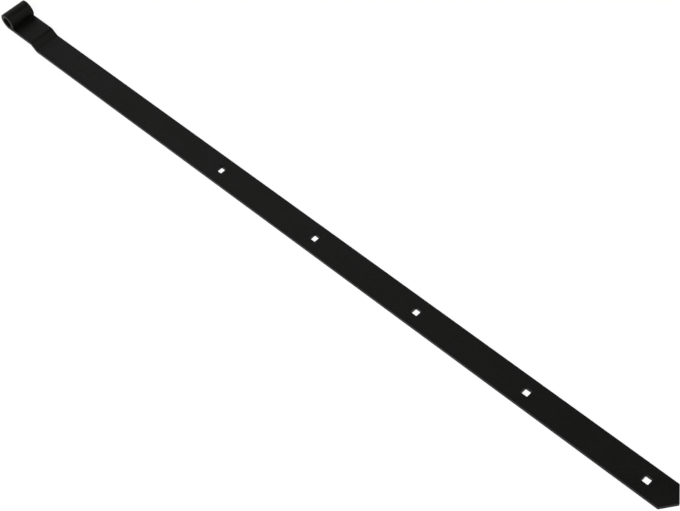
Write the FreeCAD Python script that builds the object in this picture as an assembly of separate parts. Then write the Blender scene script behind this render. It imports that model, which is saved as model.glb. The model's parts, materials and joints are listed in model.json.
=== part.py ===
import FreeCAD, Part
import math
import os

# Cranked band of a hook and band hinge.
# The band is one flat steel bar. One end is rolled into an eye that drops over the hook's pin, a crank beside
# the eye sets the bar back against the gate, square holes take coach bolts, and the far end is cut to a point.
#
# Frame: the origin is on the pin's axis, half way across the band. +X runs along the band to its point,
# +Y lies along the pin, and +Z goes from the band's back, which lies on the gate, to its front.
# All sizes are in millimetres, and the crank's slope is in degrees.

# Flat bar
band_width = 40.0
band_thickness = 6.0
arris_radius = 0.8

# Eye, rolled until the corner of its cut end comes down to the landing, the flat stretch that carries the eye
pin_diameter = 14.0
pin_clearance = 0.4
roll_gap = 0.3

# Crank, two equal bends with a short straight ramp between them
landing_length = 50.0
crank_offset = 8.5
crank_slope = 40.0
crank_inner_radius = 3.0

# Reach from the pin's axis to the point, and the form of the point
band_reach = 1200.0
point_length = 15.0
point_corner_radius = 1.5

# Square holes on the middle line, counted from the point towards the eye
hole_side = 10.0
hole_corner_radius = 0.6
hole_count = 5
hole_pitch = 179.0
point_to_hole = 46.0

# Levels and radii that follow from the sizes above
half_width = band_width / 2
bore_radius = pin_diameter / 2 + pin_clearance
eye_radius = bore_radius + band_thickness
landing_front = -bore_radius
landing_back = -eye_radius
band_front = landing_front - crank_offset
band_back = landing_back - crank_offset
crank_outer_radius = crank_inner_radius + band_thickness
crank_middle_radius = crank_inner_radius + band_thickness / 2
crank_angle = math.radians(crank_slope)
bends_drop = 2 * crank_middle_radius * (1 - math.cos(crank_angle))
ramp_length = (crank_offset - bends_drop) / math.sin(crank_angle)
crank_end = landing_length + 2 * crank_middle_radius * math.sin(crank_angle) + ramp_length * math.cos(crank_angle)
shoulder = band_reach - point_length


def side_point(x, z):
    """A point of the side view, on the band's near edge."""
    return FreeCAD.Vector(x, -half_width, z)


def line(start, end):
    return Part.LineSegment(start, end).toShape()


def arc(centre, radius, start_angle, end_angle):
    """An arc of the side view. Angles turn from +X towards +Z."""
    angles = (start_angle, (start_angle + end_angle) / 2, end_angle)
    steps = [FreeCAD.Vector(math.cos(angle), 0, math.sin(angle)) for angle in angles]
    return Part.Arc(*[centre + step * radius for step in steps]).toShape()


def bar_face(landing_level, band_level, first_radius, second_radius):
    """One face of the bar in side view: the landing, the crank's bends and ramp, and the run to the point."""
    first_centre = side_point(landing_length, landing_back - crank_inner_radius)
    second_centre = side_point(crank_end, band_front + crank_inner_radius)
    up = math.pi / 2
    first_bend = arc(first_centre, first_radius, up, up - crank_angle)
    second_bend = arc(second_centre, second_radius, -up - crank_angle, -up)
    return [
        line(side_point(0, landing_level), side_point(landing_length, landing_level)),
        first_bend,
        line(first_bend.Vertexes[-1].Point, second_bend.Vertexes[0].Point),
        second_bend,
        line(side_point(crank_end, band_level), side_point(band_reach, band_level)),
    ]


def bent_bar():
    """The bar bent and rolled: its side view drawn out across the band's width."""
    front = bar_face(landing_front, band_front, crank_outer_radius, crank_inner_radius)
    back = bar_face(landing_back, band_back, crank_inner_radius, crank_outer_radius)
    pin_axis = side_point(0, 0)
    roll_start = -math.pi / 2
    roll_end = -2 * math.pi - math.asin((bore_radius - roll_gap) / eye_radius)
    inside = arc(pin_axis, bore_radius, roll_start, roll_end)
    outside = arc(pin_axis, eye_radius, roll_start, roll_end)
    cut_end = line(inside.Vertexes[-1].Point, outside.Vertexes[-1].Point)
    far_end = line(side_point(band_reach, band_back), side_point(band_reach, band_front))
    outline = Part.Wire(Part.__sortEdges__([*front, *back, inside, outside, cut_end, far_end]))
    return Part.Face(outline).extrude(FreeCAD.Vector(0, band_width, 0))


def is_zero(length):
    return abs(length) < Part.Precision.confusion()


def end_to_end(edge):
    return edge.Vertexes[-1].Point - edge.Vertexes[0].Point


def upright_edges(shape):
    """Edges that run straight through the bar's thickness."""
    found = []
    for edge in shape.Edges:
        run = end_to_end(edge)
        if is_zero(run.x) and is_zero(run.y):
            found.append(edge)
    return found


def corner_offcut(side):
    """The corner sheared off the bar's end on one side of the point."""
    low = band_back - band_thickness
    corners = [(shoulder, side * half_width), (band_reach, 0)]
    corners += [(band_reach + point_length, 0), (band_reach + point_length, side * band_width)]
    corners += [(shoulder, side * band_width), corners[0]]
    base = Part.makePolygon([FreeCAD.Vector(x, y, low) for x, y in corners])
    return Part.Face(base).extrude(FreeCAD.Vector(0, 0, 3 * band_thickness))


def arrises(shape):
    """Edges that the bar's front and back make with its sides, from the eye round the point and back."""
    found = []
    for edge in shape.Edges:
        run = end_to_end(edge)
        across_width = is_zero(run.x) and is_zero(run.z)
        through_thickness = is_zero(edge.Length - band_thickness)
        if not across_width and not through_thickness:
            found.append(edge)
    return found


def hole_punch(number):
    """The square punch that makes one hole."""
    middle = band_reach - point_to_hole - number * hole_pitch
    corner = FreeCAD.Vector(middle - hole_side / 2, -hole_side / 2, band_back - band_thickness)
    punch = Part.makeBox(hole_side, hole_side, 3 * band_thickness, corner)
    return punch.makeFillet(hole_corner_radius, upright_edges(punch))


band = bent_bar().cut([corner_offcut(-1), corner_offcut(1)])
band = band.makeFillet(point_corner_radius, upright_edges(band))
band = band.makeFillet(arris_radius, arrises(band))
band = band.cut([hole_punch(number) for number in range(hole_count)])

os.makedirs("parts", exist_ok=True)
band.Solids[0].exportStep("parts/hinge_band.step")
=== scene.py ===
import json
import math

import bpy
from mathutils import Matrix, Vector


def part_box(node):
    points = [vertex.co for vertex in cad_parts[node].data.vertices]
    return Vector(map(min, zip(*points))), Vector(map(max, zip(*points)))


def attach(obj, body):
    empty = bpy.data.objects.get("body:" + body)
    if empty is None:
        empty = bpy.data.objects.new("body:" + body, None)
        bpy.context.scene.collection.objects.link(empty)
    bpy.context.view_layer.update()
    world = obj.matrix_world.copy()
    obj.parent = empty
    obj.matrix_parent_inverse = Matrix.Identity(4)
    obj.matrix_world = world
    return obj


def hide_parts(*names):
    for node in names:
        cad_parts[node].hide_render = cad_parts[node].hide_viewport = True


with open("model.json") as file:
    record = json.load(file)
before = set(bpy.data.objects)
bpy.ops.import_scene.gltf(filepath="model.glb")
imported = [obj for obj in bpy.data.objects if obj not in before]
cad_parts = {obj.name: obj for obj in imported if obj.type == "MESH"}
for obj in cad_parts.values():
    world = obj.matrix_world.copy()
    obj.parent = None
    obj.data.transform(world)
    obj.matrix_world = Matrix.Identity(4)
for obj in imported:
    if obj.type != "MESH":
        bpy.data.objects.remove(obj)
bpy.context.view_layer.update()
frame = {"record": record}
scene = bpy.context.scene


# Band: one length of flat steel bar, rolled into an eye at one end, cranked beside the eye, punched with
# square holes and cropped to a point. The bar's edges are round along its sides and its point, the rims of
# its holes and its rolled end are only eased, and bar and coat are a single piece.
mounts = {mount["name"]: mount for mount in frame["record"]["mounts"]}
hole_mounts = [mount for name, mount in mounts.items() if name.startswith("square_hole")]
hole_places = sorted(mount["pos_m"][0] for mount in hole_mounts)
lowest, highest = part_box("hinge_band")
bar_width = highest.y - lowest.y
bar_back = mounts["back_face"]["pos_m"][2]
bore_radius = mounts["eye_bore"]["dims"]["r_mm"] / 1000

# Sizes that the frame doesn't give, in metres, and the crank's slope in degrees
bar_thickness = 0.006
arris_radius = 0.0008
eased_edge = 0.0003
roll_gap = 0.0003
landing_length = 0.050
crank_slope = 40.0
crank_inner_radius = 0.003
point_reach = 1.200
point_length = 0.015
point_corner_radius = 0.0015
hole_side = 0.010
hole_corner_radius = 0.0006

# Fineness of the mesh: the turn from one point of an arc to the next, and the steps round a small corner
bend_step = math.radians(3)
point_corner_step = math.radians(9)
arris_steps = 6
hole_corner_steps = 3
easing_steps = 3
easing_least_turn = math.radians(50)

# Radii, levels and lengths of the bar's middle line
middle_radius = bore_radius + bar_thickness / 2
eye_radius = bore_radius + bar_thickness
bar_middle = bar_back + bar_thickness / 2
crank_radius = crank_inner_radius + bar_thickness / 2
crank_offset = -eye_radius - bar_back
crank_angle = math.radians(crank_slope)
bends_drop = 2 * crank_radius * (1 - math.cos(crank_angle))
bends_run = 2 * crank_radius * math.sin(crank_angle)
ramp_length = (crank_offset - bends_drop) / math.sin(crank_angle)
crank_end = landing_length + bends_run + ramp_length * math.cos(crank_angle)


def arc_points(centre, radius, start, end, step=bend_step):
    """Points along an arc, both ends among them, no further apart than the step."""
    count = max(2, math.ceil(abs(end - start) / step))
    angles = [start + (end - start) * number / count for number in range(count + 1)]
    return [(centre[0] + radius * math.cos(angle), centre[1] + radius * math.sin(angle)) for angle in angles]


def middle_line():
    """The bar's middle line in side view, from the cut end of the roll round the eye and over the crank."""
    up = math.pi / 2
    down = -math.pi / 2
    roll_end = -math.asin((bore_radius - roll_gap) / eye_radius)
    first_centre = (landing_length, -middle_radius - crank_radius)
    second_centre = (crank_end, bar_middle + crank_radius)
    roll = arc_points((0, 0), middle_radius, roll_end, down + 2 * math.pi)
    first_bend = arc_points(first_centre, crank_radius, up, up - crank_angle)
    second_bend = arc_points(second_centre, crank_radius, down - crank_angle, down)
    return [*roll, *first_bend, *second_bend]


def point_outline():
    """The point in plan, as places along the bar with the half width there, its corners rounded."""
    half_width = bar_width / 2
    crop_turn = math.atan2(half_width, point_length)
    shoulder = point_reach - point_length
    shoulder_arc_start = shoulder - point_corner_radius * math.tan(crop_turn / 2)
    shoulder_centre = (shoulder_arc_start, half_width - point_corner_radius)
    apex_centre = point_reach - point_corner_radius / math.sin(crop_turn)
    square_off = math.pi / 2
    cropped_off = square_off - crop_turn
    # The section's own round edges close the last of the width at the tip
    return [
        *arc_points(shoulder_centre, point_corner_radius, square_off, cropped_off, point_corner_step),
        (apex_centre + point_corner_radius * math.sin(crop_turn), point_corner_radius * math.cos(crop_turn)),
        (apex_centre + point_corner_radius, arris_radius),
    ]


def bar_line():
    """The bar's middle line as a curve. Each point's radius is the share of the full width there."""
    stations = [(x, z, 1.0) for x, z in middle_line()]
    # A section stands on each side of a hole, so that the cut's faces end there
    for place in hole_places:
        stations += [(place + side * hole_side, bar_middle, 1.0) for side in (-1, 1)]
    stations += [(x, bar_middle, 2 * half_width / bar_width) for x, half_width in point_outline()]
    curve = bpy.data.curves.new("bar_line", "CURVE")
    curve.dimensions = "3D"
    spline = curve.splines.new("POLY")
    spline.points.add(len(stations) - 1)
    for point, (x, z, share) in zip(spline.points, stations):
        point.co = (x, 0, z, 1)
        point.radius = share
    return bpy.data.objects.new("bar_line", curve)


def add_node(tree, kind, inputs=None, **settings):
    """A node with its settings made and its inputs set or linked, by socket name or number."""
    node = tree.nodes.new(kind)
    for name, value in settings.items():
        setattr(node, name, value)
    for name, value in (inputs or {}).items():
        if isinstance(value, bpy.types.NodeSocket):
            tree.links.new(value, node.inputs[name])
        else:
            node.inputs[name].default_value = value
    return node


def node_output(tree, kind, inputs=None, **settings):
    """The first output of a node that is made in the same way."""
    return add_node(tree, kind, inputs, **settings).outputs[0]


def calculate(tree, operation, *values):
    """The result of a Math node."""
    return node_output(tree, "ShaderNodeMath", dict(enumerate(values)), operation=operation)


def bent_bar_tree():
    """Geometry nodes that sweep the section along the bar's line, narrow the point and punch the holes."""
    tree = bpy.data.node_groups.new("bent_bar", "GeometryNodeTree")
    bar_lengths = ("Width", "Thickness", "Arris Radius", "Level")
    hole_lengths = ("Hole Side", "Hole Corner", "First Hole", "Hole Pitch")
    socket = tree.interface.new_socket
    socket("Line", in_out="INPUT", socket_type="NodeSocketGeometry")
    for name in (*bar_lengths, *hole_lengths):
        socket(name, in_out="INPUT", socket_type="NodeSocketFloat")
    socket("Holes", in_out="INPUT", socket_type="NodeSocketInt")
    socket("Coat", in_out="INPUT", socket_type="NodeSocketMaterial")
    socket("Bar", in_out="OUTPUT", socket_type="NodeSocketGeometry")
    given = tree.nodes.new("NodeGroupInput").outputs

    def rounded_rectangle(width, height, radius, steps):
        sides = {"Width": width, "Height": height}
        rectangle = node_output(tree, "GeometryNodeCurvePrimitiveQuadrilateral", sides)
        corners = {"Curve": rectangle, "Radius": radius, "Count": steps, "Limit Radius": True}
        return node_output(tree, "GeometryNodeFilletCurve", corners, mode="POLY")

    def keep(geometry, **fields):
        """Outputs with the geometry and, by name, the fields as they are on it here."""
        node = add_node(tree, "GeometryNodeCaptureAttribute", {"Geometry": geometry})
        for name, field in fields.items():
            node.capture_items.new("VECTOR" if field.type == "VECTOR" else "FLOAT", name)
            tree.links.new(field, node.inputs[name])
        return node.outputs

    share = node_output(tree, "GeometryNodeInputRadius")
    run = add_node(tree, "GeometryNodeSplineParameter").outputs["Length"]
    position = node_output(tree, "GeometryNodeInputPosition")
    line = keep(given["Line"], share=share, run=run)
    even_line = node_output(tree, "GeometryNodeSetCurveRadius", {"Curve": line["Geometry"], "Radius": 1.0})
    outline = rounded_rectangle(given["Width"], given["Thickness"], given["Arris Radius"], arris_steps)
    section = keep(outline, place=position)
    bar_sweep = {"Curve": even_line, "Profile Curve": section["Geometry"], "Fill Caps": True}
    bar = node_output(tree, "GeometryNodeCurveToMesh", bar_sweep)
    # Past the shoulders both sides move in by what the point has lost of the width
    across = add_node(tree, "ShaderNodeSeparateXYZ", {"Vector": position}).outputs["Y"]
    side = calculate(tree, "SIGN", across)
    change = calculate(tree, "SUBTRACT", line["share"], 1.0)
    half_width = calculate(tree, "MULTIPLY", given["Width"], 0.5)
    half_change = calculate(tree, "MULTIPLY", change, half_width)
    move = calculate(tree, "MULTIPLY", half_change, side)
    offset = node_output(tree, "ShaderNodeCombineXYZ", {"Y": move})
    pointed = node_output(tree, "GeometryNodeSetPosition", {"Geometry": bar, "Offset": offset})
    # Each face corner keeps its place on the flat bar, so that the mill's lines follow the bends
    on_section = add_node(tree, "ShaderNodeSeparateXYZ", {"Vector": section["place"]}).outputs
    flat_axes = {"X": line["run"], "Y": on_section["X"], "Z": on_section["Y"]}
    flat_place = node_output(tree, "ShaderNodeCombineXYZ", flat_axes)
    marked = node_output(
        tree, "GeometryNodeStoreNamedAttribute",
        {"Geometry": pointed, "Name": "flat_place", "Value": flat_place},
        data_type="FLOAT_VECTOR", domain="CORNER",
    )
    # A square punch stands at each hole and is taken out of the bar
    hole = given["Hole Side"]
    square = rounded_rectangle(hole, hole, given["Hole Corner"], hole_corner_steps)
    top = node_output(tree, "ShaderNodeCombineXYZ", {"Z": given["Thickness"]})
    bottom = node_output(tree, "ShaderNodeVectorMath", {0: top, "Scale": -1.0}, operation="SCALE")
    stroke = node_output(tree, "GeometryNodeCurvePrimitiveLine", {"Start": bottom, "End": top})
    punch_sweep = {"Curve": stroke, "Profile Curve": square, "Fill Caps": True}
    punch = node_output(tree, "GeometryNodeCurveToMesh", punch_sweep)
    first = node_output(tree, "ShaderNodeCombineXYZ", {"X": given["First Hole"], "Z": given["Level"]})
    pitch = node_output(tree, "ShaderNodeCombineXYZ", {"X": given["Hole Pitch"]})
    spacing = {"Count": given["Holes"], "Start Location": first, "Offset": pitch}
    row = node_output(tree, "GeometryNodeMeshLine", spacing)
    punches = node_output(tree, "GeometryNodeInstanceOnPoints", {"Points": row, "Instance": punch})
    solid_punches = node_output(tree, "GeometryNodeRealizeInstances", {"Geometry": punches})
    punched = node_output(
        tree, "GeometryNodeMeshBoolean", {0: marked, 1: solid_punches},
        operation="DIFFERENCE", solver="EXACT",
    )
    whole = node_output(tree, "GeometryNodeRealizeInstances", {"Geometry": punched})
    smooth = node_output(tree, "GeometryNodeSetShadeSmooth", {"Geometry": whole, "Shade Smooth": True})
    coated = node_output(tree, "GeometryNodeSetMaterial", {"Geometry": smooth, "Material": given["Coat"]})
    add_node(tree, "NodeGroupOutput", {"Bar": coated})
    return tree


def set_inputs(modifier, values):
    """Sets a geometry nodes modifier's inputs by the identifiers of their sockets."""
    for item in modifier.node_group.interface.items_tree:
        if item.name in values and item.in_out == "INPUT":
            modifier[item.identifier] = values[item.name]


def plain_mesh(maker, name):
    """What an object's modifiers make, as a mesh with no modifiers."""
    scene.collection.objects.link(maker)
    graph = bpy.context.evaluated_depsgraph_get()
    made = maker.evaluated_get(graph)
    mesh = bpy.data.meshes.new_from_object(made, preserve_all_data_layers=True, depsgraph=graph)
    mesh.name = name
    bpy.data.objects.remove(maker)
    return mesh


def eased(mesh, name, width):
    """The mesh with its sharp edges eased and its flats kept flat to the light."""
    maker = bpy.data.objects.new(name, mesh)
    easing = maker.modifiers.new("easing", "BEVEL")
    easing.limit_method = "ANGLE"
    easing.angle_limit = easing_least_turn
    easing.width = width
    easing.segments = easing_steps
    maker.modifiers.new("flats", "WEIGHTED_NORMAL").keep_sharp = True
    return plain_mesh(maker, name)


# The coat: colours, gloss, patterns in counts to the metre, and each relief's strength and depth in metres
coat_dark = (0.0026, 0.0026, 0.0024, 1)
coat_light = (0.0042, 0.0042, 0.0038, 1)
coat_roughness = (0.34, 0.46)
coat_gloss = 0.08
cloud_scale = 22.0
wave_scale = 260.0
wave_relief = (0.5, 0.0004)
grain_scale = 2200.0
grain_shade = (0.7, 1.3)
grain_relief = (0.8, 0.00012)
mill_line_scale = (9.0, 240.0, 240.0)
mill_line_relief = (0.6, 0.0004)
# Most of a noise pattern lies between these values
noise_range = (0.3, 0.7)


def satin_black():
    """Baked black powder coat: satin, with fine grain over slow flow waves and the mill's long lines."""
    material = bpy.data.materials.new("satin_black")
    material.use_nodes = True
    tree = material.node_tree
    shader = tree.nodes["Principled BSDF"].inputs
    place = add_node(tree, "ShaderNodeTexCoord").outputs["Object"]
    flat_place = add_node(tree, "ShaderNodeAttribute", attribute_name="flat_place").outputs["Vector"]
    drawn_out = node_output(tree, "ShaderNodeMapping", {"Vector": flat_place, "Scale": mill_line_scale})

    def noise(vector, scale, detail=2.0):
        return node_output(tree, "ShaderNodeTexNoise", {"Vector": vector, "Scale": scale, "Detail": detail})

    def spread(pattern, least, most):
        ends = {"From Min": noise_range[0], "From Max": noise_range[1], "To Min": least, "To Max": most}
        return node_output(tree, "ShaderNodeMapRange", {"Value": pattern, **ends})

    def relief(pattern, strength, depth, under=None):
        inputs = {"Height": pattern, "Strength": strength, "Distance": depth}
        if under:
            inputs["Normal"] = under
        return node_output(tree, "ShaderNodeBump", inputs)

    clouds = noise(place, cloud_scale, detail=3.0)
    waves = noise(place, wave_scale)
    grain = noise(place, grain_scale)
    mill_lines = noise(drawn_out, 1.0)
    tone = add_node(tree, "ShaderNodeValToRGB", {"Fac": clouds})
    for end, value, colour in zip(tone.color_ramp.elements, noise_range, (coat_dark, coat_light)):
        end.position = value
        end.color = colour
    shading = {0: tone.outputs[0], "Scale": spread(grain, *grain_shade)}
    grainy = node_output(tree, "ShaderNodeVectorMath", shading, operation="SCALE")
    surface = relief(mill_lines, *mill_line_relief)
    surface = relief(waves, *wave_relief, surface)
    surface = relief(grain, *grain_relief, surface)
    tree.links.new(grainy, shader["Base Color"])
    tree.links.new(spread(clouds, *coat_roughness), shader["Roughness"])
    tree.links.new(surface, shader["Normal"])
    shader["Specular IOR Level"].default_value = coat_gloss
    return material


line_object = bar_line()
bar_nodes = line_object.modifiers.new("bent_bar", "NODES")
bar_nodes.node_group = bent_bar_tree()
set_inputs(bar_nodes, {
    "Width": bar_width, "Thickness": bar_thickness, "Arris Radius": arris_radius, "Level": bar_middle,
    "Hole Side": hole_side, "Hole Corner": hole_corner_radius, "Holes": len(hole_places),
    "First Hole": hole_places[0], "Hole Pitch": hole_places[1] - hole_places[0],
    "Coat": satin_black(),
})
bar_mesh = plain_mesh(line_object, "bar")
band = bpy.data.objects.new("band", eased(bar_mesh, "band", eased_edge))
scene.collection.objects.link(band)
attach(band, "root")
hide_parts("hinge_band")


# Floor: a plain white studio sheet that the band lies on with its back down. It shows white to the camera
# and in the coat's gloss, takes a faint shadow, and is clear from below, to show the band's back.
floor_size = 40.0
floor_gap = 0.0001
floor_level = bar_back - floor_gap
paper_white = (0.9, 0.9, 0.9, 1)
paper_roughness = 0.9
glow_strength = 1.05
glow_share = 0.85
floor_signs = ((-1, -1), (1, -1), (1, 1), (-1, 1))
floor_corners = [(x * floor_size / 2, y * floor_size / 2, floor_level) for x, y in floor_signs]
floor_mesh = bpy.data.meshes.new("floor")
floor_mesh.from_pydata(floor_corners, [], [(0, 1, 2, 3)])
floor = bpy.data.objects.new("floor", floor_mesh)
scene.collection.objects.link(floor)


def white_sheet():
    """Matt white paper with its white held up where it is looked at, straight or in a gloss."""
    material = bpy.data.materials.new("white_sheet")
    material.use_nodes = True
    tree = material.node_tree
    paper = tree.nodes["Principled BSDF"]
    paper.inputs["Base Color"].default_value = paper_white
    paper.inputs["Roughness"].default_value = paper_roughness
    paper.inputs["Specular IOR Level"].default_value = 0.0
    glow = node_output(tree, "ShaderNodeEmission", {"Color": (1, 1, 1, 1), "Strength": glow_strength})
    ray = add_node(tree, "ShaderNodeLightPath").outputs
    looks = calculate(tree, "MAXIMUM", ray["Is Camera Ray"], ray["Is Glossy Ray"])
    looks = calculate(tree, "MAXIMUM", looks, ray["Is Transmission Ray"])
    share = calculate(tree, "MULTIPLY", looks, glow_share)
    sheet = node_output(tree, "ShaderNodeMixShader", {0: share, 1: paper.outputs[0], 2: glow})
    from_below = add_node(tree, "ShaderNodeNewGeometry").outputs["Backfacing"]
    clear = node_output(tree, "ShaderNodeBsdfTransparent")
    one_way = node_output(tree, "ShaderNodeMixShader", {0: from_below, 1: sheet, 2: clear})
    tree.links.new(one_way, tree.nodes["Material Output"].inputs["Surface"])
    return material


floor_mesh.materials.append(white_sheet())


# Light: a soft studio room, bright round the horizon and darker above. Soft round panels hang beyond both
# ends of the band and over it, for the coat's satin to pick up, and one large lamp stands on the near side.
horizon_glow = 1.0
panel_fade = 0.02
# Each panel's direction, the cosine of the angle from there to its edge, and its glow
panels = [
    (Vector((-0.580, 0.360, 0.731)), 0.945, 0.95),
    (Vector((-0.450, 0.395, 0.801)), 0.980, 2.10),
    (Vector((0.600, 0.334, 0.727)), 0.945, 1.90),
    (Vector((0.0, 0.0, 1.0)), 0.970, 0.40),
]
lamp_power = 90.0
lamp_width = 1.6
lamp_height = 1.2
lamp_place = Vector((1.6, -2.0, 2.4))
lamp_aim = Vector((0.5, 0, bar_back))


def studio_room():
    """The room's light by direction: falling from the horizon upwards, with the soft panels added."""
    world = bpy.data.worlds.new("studio")
    world.use_nodes = True
    tree = world.node_tree
    direction = add_node(tree, "ShaderNodeTexCoord").outputs["Generated"]
    height = add_node(tree, "ShaderNodeSeparateXYZ", {"Vector": direction}).outputs["Z"]
    above = calculate(tree, "MAXIMUM", height, 0.0)
    falling = calculate(tree, "SUBTRACT", 1.0, above)
    light = calculate(tree, "MULTIPLY", falling, horizon_glow)
    for panel, edge, glow in panels:
        facing = add_node(tree, "ShaderNodeVectorMath", {0: direction, 1: panel}, operation="DOT_PRODUCT")
        ends = {"From Min": edge, "From Max": edge + panel_fade, "To Min": 0.0, "To Max": glow}
        soft_round = node_output(
            tree, "ShaderNodeMapRange", {"Value": facing.outputs["Value"], **ends},
            interpolation_type="SMOOTHSTEP",
        )
        light = calculate(tree, "ADD", light, soft_round)
    tree.links.new(light, tree.nodes["Background"].inputs["Strength"])
    tree.nodes["Background"].inputs["Color"].default_value = (1, 1, 1, 1)
    return world


def looking(place, aim):
    """The matrix that stands a lamp or a camera at a place, upright and turned to its aim."""
    turn = (aim - place).to_track_quat("-Z", "Y").to_matrix().to_4x4()
    return Matrix.Translation(place) @ turn


scene.world = studio_room()
lamp_data = bpy.data.lights.new("key", "AREA")
lamp_data.energy = lamp_power
lamp_data.shape = "RECTANGLE"
lamp_data.size = lamp_width
lamp_data.size_y = lamp_height
lamp = bpy.data.objects.new("key", lamp_data)
lamp.matrix_world = looking(lamp_place, lamp_aim)
scene.collection.objects.link(lamp)


# Camera: a long lens that looks down on the band from the point's near side. It is rolled a little, so that
# the band crosses the picture from corner to corner as it does in the photograph.
camera_place = Vector((1.64747, -0.80749, 1.62110))
camera_aim = Vector((0.65915, 0.00341, bar_back))
camera_roll = math.radians(-7.833)
camera_data = bpy.data.cameras.new("camera")
camera_data.sensor_width = 36.0
camera_data.lens = 85.675
camera = bpy.data.objects.new("camera", camera_data)
camera.matrix_world = looking(camera_place, camera_aim) @ Matrix.Rotation(camera_roll, 4, "Z")
scene.collection.objects.link(camera)
scene.camera = camera
scene.view_settings.view_transform = "Standard"
